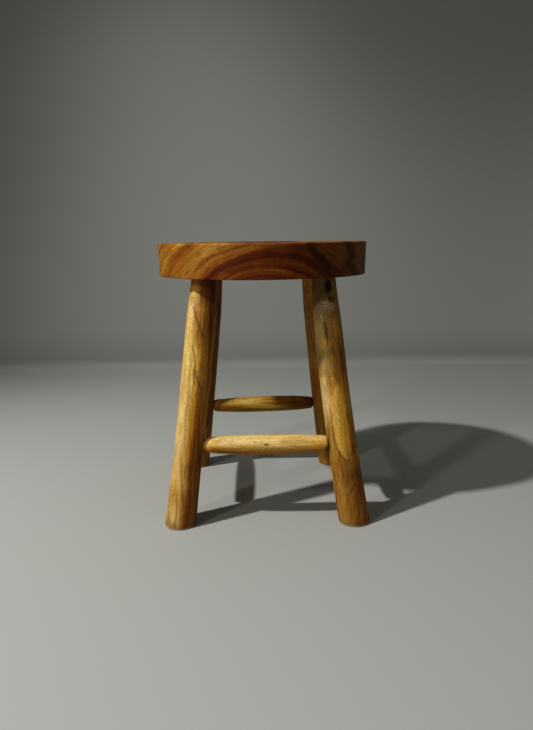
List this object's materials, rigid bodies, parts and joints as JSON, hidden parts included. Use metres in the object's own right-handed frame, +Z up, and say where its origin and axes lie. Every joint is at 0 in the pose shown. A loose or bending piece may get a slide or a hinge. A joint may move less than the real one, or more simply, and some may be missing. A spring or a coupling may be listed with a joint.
{
  "type": "milking stool",
  "caption": "Low round-topped wooden milking stool with splayed tapered legs wedged through a slab seat and braced by spindle stretchers, for sitting low beside an animal.",
  "frame": {"origin": "on the floor, under the middle of the seat", "axes": "+Z up, the front stretcher towards -Y, the right-hand stretcher towards +X"},
  "size_m": [0.2998, 0.2998, 0.3797],
  "materials": {
    "seat_wood": "old worn hardwood, dark brown patina, satin",
    "leg_wood": "old drawknifed hardwood, honey brown patina, satin",
    "stretcher_wood": "old whittled hardwood, golden patina, satin",
    "wedge_wood": "old hardwood, dry, matte"
  },
  "bodies": {
    "root": {"seat": "seat_wood", "leg_front_left": "leg_wood", "leg_front_right": "leg_wood", "leg_back_left": "leg_wood", "leg_back_right": "leg_wood", "wedge_front_left": "wedge_wood", "wedge_front_right": "wedge_wood", "wedge_back_left": "wedge_wood", "wedge_back_right": "wedge_wood", "stretcher_front": "stretcher_wood", "stretcher_back": "stretcher_wood", "stretcher_left": "stretcher_wood", "stretcher_right": "stretcher_wood"}
  },
  "joints": []
}
